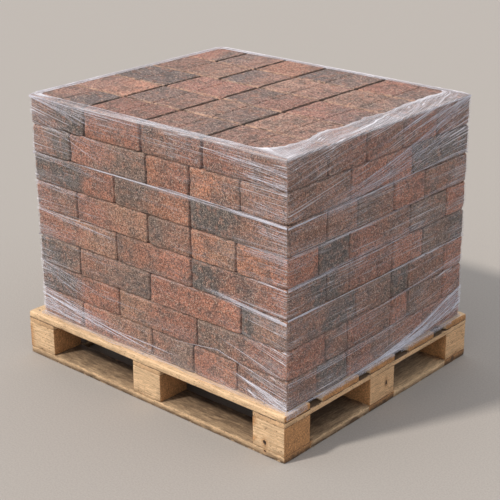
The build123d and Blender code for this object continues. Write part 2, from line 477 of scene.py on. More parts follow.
def placed(name, data):
    """A new object in the scene."""
    made = bpy.data.objects.new(name, data)
    scene.collection.objects.link(made)
    return made


def add_piece(name, points, faces, material, attributes=()):
    """A smooth-shaded mesh that rides on the object, with its point attributes."""
    mesh = bpy.data.meshes.new(name)
    mesh.from_pydata(points.tolist(), [], faces)
    for key, values in dict(attributes).items():
        values = np.asarray(values, dtype=np.float32)
        kinds = {1: ("FLOAT", "value"), 3: ("FLOAT_VECTOR", "vector"), 4: ("FLOAT_COLOR", "color")}
        kind, field = kinds[1 if values.ndim == 1 else values.shape[1]]
        mesh.attributes.new(key, kind, "POINT").data.foreach_set(field, values.ravel())
    mesh.polygons.foreach_set("use_smooth", [True] * len(mesh.polygons))
    mesh.materials.append(material)
    mesh.update()
    piece = placed(name, mesh)
    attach(piece, "root")
    return piece


def shell(lines):
    """The outside of a box lattice with these grid lines along X, Y and Z: its points and quads."""
    xs, ys, zs = lines
    i, j, k = np.meshgrid(*(np.arange(len(axis)) for axis in lines), indexing="ij")
    outer = (i == 0) | (i == len(xs) - 1) | (j == 0) | (j == len(ys) - 1) | (k == 0) | (k == len(zs) - 1)
    index = np.full(outer.shape, -1)
    index[outer] = np.arange(outer.sum())
    points = np.stack([xs[i[outer]], ys[j[outer]], zs[k[outer]]], axis=1)
    faces_out = (
        (index[0], True), (index[-1], False),
        (index[:, 0], False), (index[:, -1], True),
        (index[:, :, 0], True), (index[:, :, -1], False),
    )
    quads = []
    for side, flipped in faces_out:
        corners = [side[:-1, :-1], side[1:, :-1], side[1:, 1:], side[:-1, 1:]]
        if flipped:
            corners.reverse()
        quads.append(np.stack([corner.ravel() for corner in corners], axis=1))
    return points, np.concatenate(quads)


def grid_lines(low, high, cell, radius, extra=()):
    """Grid lines from low to high: close together at the arrises, and a cell apart between."""
    near = radius * np.array([0, 0.22, 0.55, 1.0])
    count = max(1, round((high - low - 2 * radius) / cell))
    middle = np.linspace(low + radius, high - radius, count + 1)[1:-1]
    if len(extra):
        middle = middle[np.abs(middle[:, None] - np.array(extra)[None]).min(axis=1) > 0.5 * groove_half_width]
    return np.sort(np.concatenate([low + near, middle, high - near, extra]))


def in_groove(x, grooves):
    """1 in the middle of a groove, and falling to 0 at its edges."""
    share = np.zeros(len(x))
    for middle in grooves:
        share = np.maximum(share, np.clip(1 - np.abs(x - middle) / groove_half_width, 0, 1))
    return share


def worn_block(low, high, cell, radius, chip, wave, seed, grooves=()):
    """A block with uneven rounded arrises, small chips and slightly wavy faces."""
    low, high = np.array(low), np.array(high)
    extra = [x + d for x in grooves for d in groove_half_width * np.array([-1, -0.5, 0, 0.5, 1])]
    lines = [grid_lines(low[n], high[n], cell, radius, extra if n == 0 else ()) for n in range(3)]
    points, quads = shell(lines)
    centre, half = (low + high) / 2, (high - low) / 2
    local = points - centre
    uneven = radius * np.clip(0.85 + 0.55 * noise_at(points, 22, seed), 0.35, 1.25)
    at_corner = (half[0] - np.abs(local[:, 0]) < 2 * radius) & (half[1] - np.abs(local[:, 1]) < 2 * radius)
    worn = at_corner & ((local[:, 2] < half[2] - 2 * radius) | (high[2] < load_high.z - MM))
    uneven = uneven * np.where(worn, corner_wear, 1.0)
    core = np.clip(local, -(half - uneven[:, None]), half - uneven[:, None])
    out = local - core
    length = np.maximum(np.linalg.norm(out, axis=1), 1e-9)
    direction = out / length[:, None]
    edge = np.sort(np.abs(direction), axis=1)[:, 1]
    chips = np.maximum(noise_at(points, 55, seed + 7) - 0.12, 0) * chip * np.minimum(edge * 2.2, 1)
    waves = noise_at(points, 30, seed + 13) * wave - abs(wave)
    reach = np.minimum(length, uneven) - chips + waves
    shaped = centre + core + direction * reach[:, None]
    on_top = points[:, 2] > high[2] - 0.5 * radius
    shaped[:, 2] -= in_groove(shaped[:, 0], grooves) * groove_depth * on_top
    return shaped, quads


def paver_boxes(node):
    """The box of each separate paver in a course's node."""
    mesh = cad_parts[node].data
    places = [tuple(round(c, 5) for c in vertex.co) for vertex in mesh.vertices]
    group = {place: place for place in places}

    def root(place):
        while group[place] != place:
            group[place] = group[group[place]]
            place = group[place]
        return place

    for polygon in mesh.polygons:
        first = places[polygon.vertices[0]]
        for other in polygon.vertices[1:]:
            group[root(places[other])] = root(first)
    members = {}
    for place in group:
        members.setdefault(root(place), []).append(place)
    boxes = [(np.min(found, axis=0), np.max(found, axis=0)) for found in members.values()]
    return sorted(boxes, key=lambda box: (round(box[0][1], 3), round(box[0][0], 3)))


def blended(names, share):
    """The tone at each share of the way from a paver's first tone to its last."""
    names = names.split()
    first, last = np.array(tones[names[0]]), np.array(tones[names[-1]])
    return first + (last - first) * share[:, None]


def soft_share(share, points, seed):
    """A share along a paver, made into a cloudy and fairly quick change of tone."""
    cloudy = share + 0.32 * noise_at(points, 11, seed) + 0.12 * noise_at(points, 34, seed)
    return np.clip((cloudy - 0.32) / 0.36, 0, 1)


def listed(table, box, boxes, along, chosen):
    """This paver's entry in one side's row of tones, or None if it isn't on that side."""
    on_side = sorted((b for b in boxes if chosen(b)), key=lambda b: b[0][along])
    for n, found in enumerate(on_side):
        if found is box and n < len(table):
            return table[n]
    return None


def paver_tones(points, box, boxes, course, rng):
    """Each point's tone, from the tables where a side shows in the photograph."""
    low, high = box
    seed = rng.uniform(0, 50)
    share_x = (points[:, 0] - low[0]) / (high[0] - low[0])
    share_y = (points[:, 1] - low[1]) / (high[1] - low[1])
    picked = rng.choice(palette, size=2, p=palette_odds)
    colour = blended(" ".join(picked), soft_share(share_x, points, seed))
    front = listed(front_tones[course], box, boxes, 0, lambda b: b[0][1] < load_low.y + MM)
    right = listed(right_tones[course], box, boxes, 1, lambda b: b[1][0] > load_high.x - MM)
    if front:
        colour = blended(front, soft_share(share_x, points, seed))
    if right:
        at_side = points[:, 0] > high[0] - arris_radius if front else np.full(len(points), True)
        colour[at_side] = blended(right, soft_share(share_y, points, seed))[at_side]
    return colour


def wearing_tones(points, low, high, box, boxes, seed):
    """Each point's tone as on a top paver's wearing face, worn towards one tone, and made paler and bluer by
    a painted sky sheen.
    """
    row = round((low[1] - load_low.y) / (high[1] - low[1] + joint_gap))
    names = listed(top_tones[row], box, boxes, 0, lambda b: abs(b[0][1] - box[0][1]) < MM)
    share = (points[:, 0] - low[0]) / (high[0] - low[0])
    worn = blended(names, soft_share(share, points, seed)) * worn_share + worn_tone * (1 - worn_share)
    return worn * wearing_sky_sheen


def paver_grooves(low, high):
    """Where a long top paver has its dummy joint."""
    span = (high[0] - low[0]) / (high[1] - low[1])
    nearest = min(groove_shares, key=lambda known: abs(known - span))
    if abs(nearest - span) > groove_match:
        return ()
    return (low[0] + groove_shares[nearest] * (high[0] - low[0]),)


def build_courses(material):
    """Every course of worn pavers, one mesh for each course's node."""
    for course, node in enumerate(course_names):
        on_top = course == len(course_names) - 1
        radius = top_arris_radius if on_top else arris_radius
        rng = np.random.default_rng(100 + course)
        boxes = paver_boxes(node)
        found, faces, start = {}, [], 0
        for box in boxes:
            low, high = box
            at_low, at_high = low < np.array(load_low) + MM, high > np.array(load_high) - MM
            if on_top:
                low = low + top_joint_gain * ~at_low
                high = high - top_joint_gain * ~at_high
            shown = on_top or at_low[:2].any() or at_high[:2].any()
            cell = face_cell if shown else hidden_cell
            grooves = paver_grooves(low, high) if on_top else ()
            seed = rng.uniform(0, 90)
            points, quads = worn_block(low, high, cell, radius, paver_chip, paver_wave, seed, grooves)
            colour = paver_tones(points, box, boxes, course, rng)
            if on_top:
                upper = points[:, 2] > high[2] - arris_radius
                colour[upper] = wearing_tones(points, low, high, box, boxes, seed)[upper]
            colour = colour * rng.uniform(0.85, 1.15)
            sunk = points[:, 2] > high[2] - groove_depth - radius
            parts = {
                "points": points,
                "tone": np.column_stack([colour, np.ones(len(colour))]),
                "place": points + rng.uniform(-3, 3, 3),
                "from_low": points - low,
                "from_high": high - points,
                "wearing": (points[:, 2] > high[2] - radius) * float(on_top),
                "groove": in_groove(points[:, 0], grooves) * sunk,
            }
            for key, values in parts.items():
                found.setdefault(key, []).append(values)
            faces += (quads + start).tolist()
            start += len(points)
        attributes = {key: np.concatenate(values) for key, values in found.items()}
        points = attributes.pop("points")
        course_piece = add_piece(f"pavers_{course + 1}", points, faces, material, attributes)
        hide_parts(node)


# Timber: which way each kind of piece has its grain, and how dark it is made: soil all over, which on the
# boards of the base is partly painted shade, and painted shade on the upper and under faces that lie in
# shadow. Its sides and ends can look partly like end grain, as sawn faces across the rings do.
timber_kinds = {
    "deck_board": {"along": 0, "soil_and_shade": 0.35, "under": 0.9},
    "stringer_board": {"along": 1, "soil_and_shade": 0.3, "upper": 1.2, "under": 0.9, "ends": 0.3, "sides": 0.30},
    "block": {"along": 0, "soil_and_shade": 0.32},
    "base_board": {"along": 0, "soil_and_shade": 0.50},
    "cross_board": {"along": 1, "soil_and_shade": 0.52},
}
base_kinds = ("base_board", "cross_board")
foot_darkening_height = 15 * MM  # how far up from the ground the base is made darker
# how much darker the base's upper faces are made at the pallet's outside, and how much painted shade is added
# further in, under the pallet
base_edge_darkening = 0.38  # on the base's upper faces, at the pallet's outside
base_inner_shade = 0.45  # and how much more than that further in
base_inner_reach = 0.09
turned_blocks = ("middle_right_block", "back_right_block")  # their grain runs along Y
turned_tone = 0.42
# how much less soil and painted shade these parts get, as they look lighter
lightened_parts = {"middle_right_block": 0.30, "back_right_block": 0.34, "back_right_cross_board": 0.40}
timber_cell = 20 * MM
timber_radius = 2.2 * MM
timber_chip = 5 * MM
timber_wave = 0.3 * MM
pith_reach = 0.16  # how far a board's pith lies from its middle, at most

# Dark split knots, by node: the knot's middle and its reach along each axis
timber_marks = {
    "front_right_block": ((0.520, -0.5, 0.046), (0.008, 0.02, 0.011)),
    "front_base_board": ((0.521, -0.5, 0.017), (0.005, 0.02, 0.004)),
    "middle_right_block": ((0.6, 0.022, 0.075), (0.02, 0.006, 0.012)),
}
no_mark = ((9, 9, 9), (1, 1, 1))

# Nails in the deck's top and the base's underside over each block, nearly flush
nail_radius = 4.5 * MM
nail_rise = 0.4 * MM
nail_top_depth = 0.3 * MM
nail_under_depth = 0.6 * MM
nail_shares = ((-0.30, -0.28), (0.05, 0.30), (0.32, -0.18))  # across each crossing
nail_sides = 12
nail_rings = ((0.75, 0.75), (1.0, -0.5))  # shares of the radius and of the rise


def nail_head(x, y, level, facing, start):
    """One domed head, on an upper (1) or under (-1) face: its points, and its faces from this index on."""
    points = [(x, y, level + facing * nail_rise)]
    for reach, rise in nail_rings:
        for n in range(nail_sides):
            angle = 2 * math.pi * n / nail_sides * facing
            points.append((
                x + reach * nail_radius * math.cos(angle), y + reach * nail_radius * math.sin(angle),
                level + facing * rise * nail_rise,
            ))
    faces = []
    inner, outer = start + 1, start + 1 + nail_sides
    for n in range(nail_sides):
        m = (n + 1) % nail_sides
        faces.append((start, inner + n, inner + m))
        faces.append((inner + n, outer + n, outer + m, inner + m))
    return points, faces


def nail_heads(low, high, facing, first):
    """The heads of the nails in one board, three at each crossing, with faces that count from first."""
    points, faces = [], []
    level = high[2] - nail_top_depth if facing > 0 else low[2] + nail_under_depth
    columns = [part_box(f"middle_{column}_block") for column in ("left", "middle", "right")]
    rows = [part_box(f"{row}_middle_block") for row in ("front", "middle", "back")]
    crossed = rows if high[1] - low[1] > high[0] - low[0] else [(low, high)]
    for column_low, column_high in columns:
        x0, x1 = max(low[0], column_low[0]), min(high[0], column_high[0])
        if x1 <= x0:
            continue
        for row_low, row_high in crossed:
            y0, y1 = max(low[1], row_low[1]), min(high[1], row_high[1])
            if y1 - y0 < 4 * nail_radius:
                continue
            for share_x, share_y in nail_shares:
                x, y = (x0 + x1) / 2 + share_x * (x1 - x0), (y0 + y1) / 2 + share_y * (y1 - y0)
                head, head_faces = nail_head(x, y, level, facing, first + len(points))
                points += head
                faces += head_faces
    return points, faces


def timber_soil_and_shade(points, low, high, kind, lightening, rng):
    """How dark each point is made: soil all over, painted shade on the faces that lie in shadow, and on the
    base more towards its foot and on its upper faces, most further in under the pallet.
    """
    looks = timber_kinds[kind]
    soil_and_shade = np.full(len(points), looks["soil_and_shade"] * rng.uniform(0.8, 1.15) - lightening)
    upper, under = points[:, 2] > high[2] - timber_radius, points[:, 2] < low[2] + timber_radius
    if kind in base_kinds:
        soil_and_shade += np.clip(1 - points[:, 2] / foot_darkening_height, 0, 1)
        inside = np.minimum(cad_box[1][0] - np.abs(points[:, 0]), cad_box[1][1] - np.abs(points[:, 1]))
        soil_and_shade += upper * (base_edge_darkening + base_inner_shade * np.clip(inside / base_inner_reach, 0, 1))
    # painted shade on the stringers' upper faces and on the under faces, which lie in shadow
    return soil_and_shade + looks.get("upper", 0) * upper + looks.get("under", 0) * under


def build_timber(material):
    """Every piece of the pallet as a sawn board or block with worn edges."""
    for node in sorted(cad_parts):
        kind = next((k for k in timber_kinds if node.endswith(k)), None)
        if kind is None:
            continue
        looks = timber_kinds[kind]
        rng = np.random.default_rng(sum(ord(letter) * (n + 3) for n, letter in enumerate(node)))
        low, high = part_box(node)
        seed = rng.uniform(0, 90)
        points, quads = worn_block(low, high, timber_cell, timber_radius, timber_chip, timber_wave, seed)
        faces = quads.tolist()
        nailed = np.zeros(len(points))
        facing = {"deck_board": 1, "base_board": -1}.get(kind)
        if facing:
            heads, head_faces = nail_heads(low, high, facing, len(points))
            faces += head_faces
            nailed = np.concatenate([nailed, np.ones(len(heads))])
            points = np.concatenate([points, np.array(heads)])
        along = 1 if node in turned_blocks else looks["along"]
        across = 1 - along
        local = points - (np.array(low) + np.array(high)) / 2
        pith = rng.uniform(0.03, pith_reach) * np.array([1, rng.choice((-0.7, 0.7))])
        grain = spots(
            local[:, along] + rng.uniform(-4, 4),
            local[:, across] + pith[0] * rng.choice((-1, 1)),
            local[:, 2] + pith[1],
        )
        ends = np.abs(local[:, along]) > (high[along] - low[along]) / 2 - timber_radius
        side_tone = turned_tone if node in turned_blocks else looks.get("sides", 0.0)
        centre, size = timber_marks.get(node, no_mark)
        attributes = {
            "grain": grain,
            "soil_and_shade": timber_soil_and_shade(points, low, high, kind, lightened_parts.get(node, 0.0), rng),
            "mark": (points - np.array(centre)) / np.array(size),
            "from_low": points - np.array(low),
            "from_high": np.array(high) - points,
            "shaded_seams": (points[:, 2] < deck_top - 2 * timber_radius).astype(float),
            "end_grain": np.maximum(ends * looks.get("ends", 1.0), side_tone),
            "nail": nailed,
        }
        piece = add_piece(f"timber_{node}", points, faces, material, attributes)
        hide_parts(node)


# Film
film_offset = 1.8 * MM
film_corner = 6 * MM
film_column = 12.5 * MM
film_row = 6 * MM
joint_dip = 4.2 * MM
film_folds = (((1.6, 40, 1), 3.0, 2.4 * MM), ((3.2, 85, 1), 9.0, 1.7 * MM))  # scale, seed and height
sides = ("front", "right", "back", "left")

# Heights above the deck of the film's lines of pull, at five even stations along each side from its
# start, or one height for a level line. The front starts at the left, the right at the front, and so on
# round the load.
stations = np.linspace(0, 1, 5)
pull_lines = {
    "front": (
        (-0.10, -0.10, -0.10, -0.10, -0.14), (0.00, 0.00, 0.00, 0.00, -0.05), (0.10, 0.10, 0.10, 0.12, 0.05),
        (0.20, 0.20, 0.20, 0.21, 0.14), (0.30, 0.30, 0.31, 0.31, 0.295), 0.40,
        (0.60, 0.60, 0.60, 0.60, 0.595), (0.785, 0.735, 0.715, 0.705, 0.70), 0.80, 0.90,
    ),
    "right": (
        (-0.06, -0.06, -0.05, -0.04, -0.03), (-0.01, -0.005, 0.0, 0.012, 0.03),
        (0.008, 0.012, 0.02, 0.055, 0.105), (0.08, 0.08, 0.09, 0.115, 0.155),
        (0.30, 0.298, 0.297, 0.30, 0.30), (0.50, 0.50, 0.50, 0.51, 0.515),
        (0.592, 0.594, 0.597, 0.60, 0.60), (0.605, 0.64, 0.685, 0.74, 0.80),
        (0.72, 0.76, 0.79, 0.84, 0.90), (0.90, 0.94, 0.97, 1.0, 1.05),
    ),
    "back": (
        -0.10, (0.12, 0.10, 0.10, 0.09, 0.08), (0.30, 0.31, 0.30, 0.30, 0.30), 0.60,
        (0.78, 0.76, 0.72, 0.70, 0.70), 0.90,
    ),
    "left": (
        -0.10, (0.08, 0.09, 0.10, 0.12, 0.12), (0.30, 0.30, 0.29, 0.30, 0.30), 0.60,
        (0.70, 0.70, 0.72, 0.76, 0.78), 0.90,
    ),
}
pull_values = {
    side: np.array([np.broadcast_to(line, stations.shape) for line in lines])
    for side, lines in pull_lines.items()
}


def side_frame(side):
    """A side's start corner, its direction, its outward normal and its length."""
    x0, y0, x1, y1 = load_low.x, load_low.y, load_high.x, load_high.y
    start, end, normal = {
        "front": ((x0, y0), (x1, y0), (0, -1)),
        "right": ((x1, y0), (x1, y1), (1, 0)),
        "back": ((x1, y1), (x0, y1), (0, 1)),
        "left": ((x0, y1), (x0, y0), (-1, 0)),
    }[side]
    start, end = np.array(start), np.array(end)
    length = np.linalg.norm(end - start)
    return start, (end - start) / length, np.array(normal), length


side_starts = {}
perimeter = 0.0
for side_name in sides:
    side_starts[side_name] = perimeter
    perimeter += side_frame(side_name)[3]


def lines_at(side, share):
    """The heights of all the pull lines at each share along a side, and the lines' mean heights."""
    lines = pull_values[side]
    heights = np.array([np.interp(share, stations, line) for line in lines])
    return heights.T, lines.mean(axis=1)


def flow_height(side, share, height):
    """The pull line through each point, named by its mean height along the side."""
    heights, means = lines_at(side, share)
    return np.array([np.interp(height, lines, means) for lines in heights])


def line_height(side, share, mean):
    """The height of one pull line, named by its mean height, at each share along the side."""
    heights, means = lines_at(side, share)
    return np.array([np.interp(value, means, lines) for value, lines in zip(mean, heights)])


def outer_line(side, along, outset):
    """Points in plan round the load, this far outside it, with rounded corners."""
    start, direction, normal, length = side_frame(side)
    from_start = np.clip(1 - along / film_corner, 0, 1)
    from_end = np.clip(1 - (length - along) / film_corner, 0, 1)
    turn = (from_end - from_start) * math.pi / 4
    facing = normal * np.cos(turn)[:, None] + direction * np.sin(turn)[:, None]
    inner = np.clip(along, film_corner, length - film_corner)
    centre = start + direction * inner[:, None] - normal * film_corner
    return centre + facing * np.reshape(film_corner + outset, (-1, 1))


def joint_distance(height):
    """How far a height above the deck is from the nearest joint between two courses."""
    joint = np.clip(np.round(height / course_height), 1, len(course_names) - 1)
    return np.abs(height - joint * course_height)


def fade(distance, reach):
    """1 at no distance, falling off over this reach."""
    return np.exp(-distance / reach)


def bell(distance, reach):
    """1 at no distance, falling off over this reach with a rounded top."""
    return np.exp(-(distance / reach) ** 2)


def film_relief(side, along, flow, height):
    """How far the film stands off the pavers: folds along its lines of pull, drawn in at each joint."""
    near_corner = np.minimum(along, side_frame(side)[3] - along)
    folds = 0.0
    for scale, seed, rise in film_folds:
        folds = folds + np.maximum(noise_at(flow * np.array(scale), 1.0, seed), 0) * rise
    folds = folds * (0.35 + 0.9 * fade(near_corner, 0.12))
    from_joint = joint_distance(height)
    at_corner = fade(near_corner, 0.02)
    dip_reach = (4 + 2.5 * at_corner) * MM
    drawn_in = bell(from_joint, dip_reach) * joint_dip * (1 + 1.4 * at_corner)
    return folds * (1 - 0.85 * bell(from_joint, 8 * MM)) - drawn_in


def wall_heights():
    """Heights above the deck of the wall's rows, with rows close together at each joint."""
    near_joint = np.array([0, 1.6, 3.4, 5.6, 9]) * MM
    rows = [near_joint[:1]]
    for course in range(len(course_names)):
        low, high = course * course_height, (course + 1) * course_height
        rows += [low + near_joint, np.arange(low + 9 * MM, high - 10 * MM, film_row), high - near_joint]
    rows = np.unique(np.round(np.concatenate(rows), 5))
    return rows[rows < load_high.z - deck_top - 1 * MM]


def wall_looks(side, along, height, line):
    """How milky the film is on a wall, partly with a painted sheen, and how creased: most at its corners, top
    and foot.
    """
    length = side_frame(side)[3]
    near, far = (length - along, along) if side == "front" else (along, length - along)
    below_top = load_high.z - deck_top - height
    # the white band along the top edge is partly a painted highlight
    haze_and_sheen = 0.02 * fade(near, 0.05) + 0.03 * fade(far, 0.05) + 0.25 * fade(below_top, 0.006)
    haze_and_sheen += 0.03 * fade(below_top, 0.05) + 0.11 * fade(height, 0.035)
    far_creases_and_glints = 0.35 if side == "right" else 0.66
    creases_and_glints = 0.13 + 0.98 * fade(near, 0.11) + far_creases_and_glints * fade(far, 0.11)
    creases_and_glints += 0.68 * fade(below_top, 0.055) + 0.40 * fade(height, 0.06)
    if side in ("back", "left"):
        haze_and_sheen += 0.02
        creases_and_glints += 0.15
    if side == "right":
        foot_band = bell(line - 0.012, 0.010) * np.clip(along / length * 4 - 0.3, 0, 1)
        # over the right face the haze is a painted bluish sheen of the sky
        haze_and_sheen += 0.02 * (1 - fade(near, 0.08)) + 0.07 * foot_band
        creases_and_glints += 0.30 - 0.90 * fade(near, 0.11) - 0.25 * fade(height, 0.06) + 0.55 * foot_band
    if side == "front":
        creases_and_glints += 1.1 * fade(near, 0.05) * fade(height, 0.045)
        creases_and_glints += 0.65 * fade(far, 0.13) * fade(height, 0.20)
        haze_and_sheen += 0.06 * fade(far, 0.07) * fade(height, 0.07)
    return haze_and_sheen, creases_and_glints


# How far the sleeve's foot flares out over the deck's margin, and its rows from the outside in
skirt_reach = {"front": 17 * MM, "right": 14 * MM, "back": 14 * MM, "left": 20 * MM}
deck_margin = {"front": 29 * MM, "right": 13 * MM, "back": 29 * MM, "left": 50 * MM}  # it stays inside this
skirt_haze = {"front": 0.10, "right": 0.20, "back": 0.10, "left": 0.10}
skirt_creases_and_glints = 0.55
skirt_shares = (1.0, 0.66, 0.33, 0.08)
skirt_lift = 0.9 * MM

# The rounded edge at the top of the walls, which stands up a little where the film is slack
rim_radius = 5 * MM
rim_angles = np.radians([0, 30, 60, 85])
rim_clearance = 1.4 * MM
# partly a painted highlight along the rounded top edge
rim_haze_and_highlight = {"front": 0.24, "right": 0.26, "back": 0.80, "left": 0.80}
rim_creases_and_glints = {"front": 0.85, "right": 1.20, "back": 1.0, "left": 1.0}
rim_lift = {"front": 0.0, "right": 0.4 * MM, "back": 3.2 * MM, "left": 3.2 * MM}
rim_lift_reach = 0.03

# How far the film lies over the top course from each side, in order round the load
fold_widths = {"front": 27 * MM, "right": 92 * MM, "back": 19 * MM, "left": 21 * MM}
fold_haze = {"front": 0.17, "right": 0.19, "back": 0.30, "left": 0.34}
fold_creases_and_glints = {"front": 0.95, "right": 1.35, "back": 0.95, "left": 0.95}
fold_unevenness = {"front": 0.13, "right": 0.22, "back": 0.13, "left": 0.13}
fold_shares = np.array([0.05, 0.16, 0.3, 0.45, 0.6, 0.75, 0.88, 1.0])
fold_edge_haze = 0.30  # added along the free edge
fold_clearance = 0.8 * MM
fold_pucker = 1.6 * MM
near_corner_cut = 48 * MM
fold_corner_cut = 12 * MM
near_corner_reach = 0.055  # of the white, gathered film on the near corner


def fold_edge(side, along):
    """The fold's free edge over the top course, uneven, and cut across at its corners."""
    start, direction, normal, length = side_frame(side)
    before = sides[sides.index(side) - 1]
    after = sides[(sides.index(side) + 1) % len(sides)]
    first, last = fold_widths[before], length - fold_widths[after]
    inner = first + (last - first) * along / length
    ripple = spots(along * 9 + side_starts[side] * 9)
    uneven = 1 + fold_unevenness[side] * (noise_at(ripple, 1.0, 5.0) + 0.5 * noise_at(ripple, 3.0, 8.0))
    uneven = 1 + (uneven - 1) * np.clip(np.minimum(inner - first, last - inner) / 0.04, 0, 1)
    points = start + direction * inner[:, None] - normal * (fold_widths[side] * uneven)[:, None]
    for at_corner, toward, cut_side in ((inner - first, 1, before), (last - inner, -1, side)):
        cut = near_corner_cut if cut_side == "front" else fold_corner_cut
        pulled = cut * np.maximum(1 - at_corner / cut / 1.6, 0) ** 2 * 0.5
        points += (direction * toward - normal) * pulled[:, None]
    return points


def side_columns(side):
    """Where the film's columns stand along a side, from its start corner up to its end corner."""
    length = side_frame(side)[3]
    corner = np.array([0, 0.5, 1]) * film_corner
    count = round((length - 2 * film_corner) / film_column)
    middle = np.linspace(film_corner, length - film_corner, count + 1)[1:-1]
    return np.concatenate([corner, middle, length - corner[:0:-1]])


def film_strip(line, height, flow, haze_and_sheen, creases_and_glints):
    """One row of film along a side: its points, flow, haze with painted sheen, and creases with painted
    glints.
    """
    return spots(*line.T, height), flow, np.broadcast_to(haze_and_sheen, len(line)), np.broadcast_to(creases_and_glints, len(line))


def skirt_rows(side, along, u, foot_flow):
    """The sleeve's foot, from its free edge in."""
    flare = spots(u * 7, 4)
    reach = np.minimum(skirt_reach[side] * (0.75 + 0.6 * noise_at(flare, 1.0, 6.0)), deck_margin[side])
    rows = []
    for part in skirt_shares:
        line = outer_line(side, along, film_offset + reach * part)
        lift = skirt_lift * (1 + 2 * part * np.abs(noise_at(flare * 4, 1.0, 3.0)))
        flow = spots(u, foot_flow - reach * part)
        rows.append(film_strip(line, deck_top + lift, flow, skirt_haze[side] + 0.06 * part, skirt_creases_and_glints))
    return rows


def wall_rows(side, along, u, heights, flows):
    """A wall, from the deck up."""
    rows = []
    for height, line_flow in zip(heights[1:], flows.T[1:]):
        flow = spots(u, line_flow)
        line = outer_line(side, along, film_offset + film_relief(side, along, flow, height))
        rows.append(film_strip(line, deck_top + height, flow, *wall_looks(side, along, height, line_flow)))
    return rows


def rim_rows(side, along, flow):
    """The rounded edge at the top of a wall."""
    from_end = np.minimum(along, side_frame(side)[3] - along)
    rows = []
    for angle in rim_angles:
        line = outer_line(side, along, film_offset - rim_radius * (1 - math.cos(angle)))
        rise = load_high.z + rim_clearance - rim_radius * (1 - math.sin(angle))
        slack = rim_lift[side] * math.sin(angle) * np.clip(from_end / rim_lift_reach, 0, 1)
        flow = flow + np.array([0, 2 * MM, 0])
        rows.append(film_strip(line, rise + slack, flow, rim_haze_and_highlight[side], rim_creases_and_glints[side]))
    return rows


def fold_rows(side, along, u, outer, flow):
    """The fold over the top course, from the rim to its free edge."""
    near = {"front": side_frame(side)[3] - along, "right": along}.get(side)
    gathered = 0.0 if near is None else bell(near, near_corner_reach)
    inner = fold_edge(side, along)
    rows = []
    for lay in fold_shares:
        line = outer + (inner - outer) * lay
        puckers = spots(u * 26 + lay * 1.5, lay * 2)
        lift = fold_clearance + fold_pucker * np.abs(noise_at(puckers, 1.0, 2.0))
        flow = flow + np.array([0, fold_widths[side] / len(fold_shares), 0])
        haze_and_sheen = fold_haze[side] + (lay > 0.8) * fold_edge_haze + 0.35 * gathered
        rows.append(film_strip(line, load_high.z + lift, flow, haze_and_sheen, fold_creases_and_glints[side] + 0.5 * gathered))
    return rows


def build_film(material):
    """The sleeve of film: its flared foot, walls and rounded top edge, and the fold over the top course."""
    heights = wall_heights()
    layers = ([], [], [], [])
    for side in sides:
        along = side_columns(side)
        u = side_starts[side] + along
        flows = flow_height(side, along / side_frame(side)[3], heights)
        rows = skirt_rows(side, along, u, flows[:, 0]) + wall_rows(side, along, u, heights, flows)
        rows += rim_rows(side, along, rows[-1][1])
        rows += fold_rows(side, along, u, rows[-1][0][:, :2], rows[-1][1])
        for layer, part in zip(layers, zip(*rows)):
            layer.append(np.array(part))
    points, flow, haze_and_sheen, creases_and_glints = (np.concatenate(layer, axis=1) for layer in layers)
    index = np.arange(points.shape[0] * points.shape[1]).reshape(points.shape[:2])
    beside = np.roll(index, -1, axis=1)
    quads = np.stack([index[:-1], beside[:-1], beside[1:], index[1:]], axis=2).reshape(-1, 4)
    attributes = {"flow": flow.reshape(-1, 3), "haze_and_sheen": haze_and_sheen.ravel(), "creases_and_glints": creases_and_glints.ravel()}
    film = add_piece(
        "stretch_film_wrap", points.reshape(-1, 3), quads.tolist(), material, attributes)
    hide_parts("stretch_film")


# Ends of film that are pulled over the ends of deck boards on the right: the boards, the shares of the
# first and last board's widths where the film starts and ends, and how far it hangs down the ends
tails = (
    (("front_deck_board",), (0.06, 0.86), 17 * MM),
    (("front_inner_deck_board", "middle_deck_board"), (-0.12, 1.0), 5 * MM),
    (("back_inner_deck_board", "back_deck_board"), (-0.30, 0.22), 6 * MM),
)
tail_cell = 4 * MM
tail_row = 2 * MM
tail_clearance = 1.0 * MM
tail_ruffle = 0.8 * MM
tail_haze = 0.11
tail_creases_and_glints = 1.4


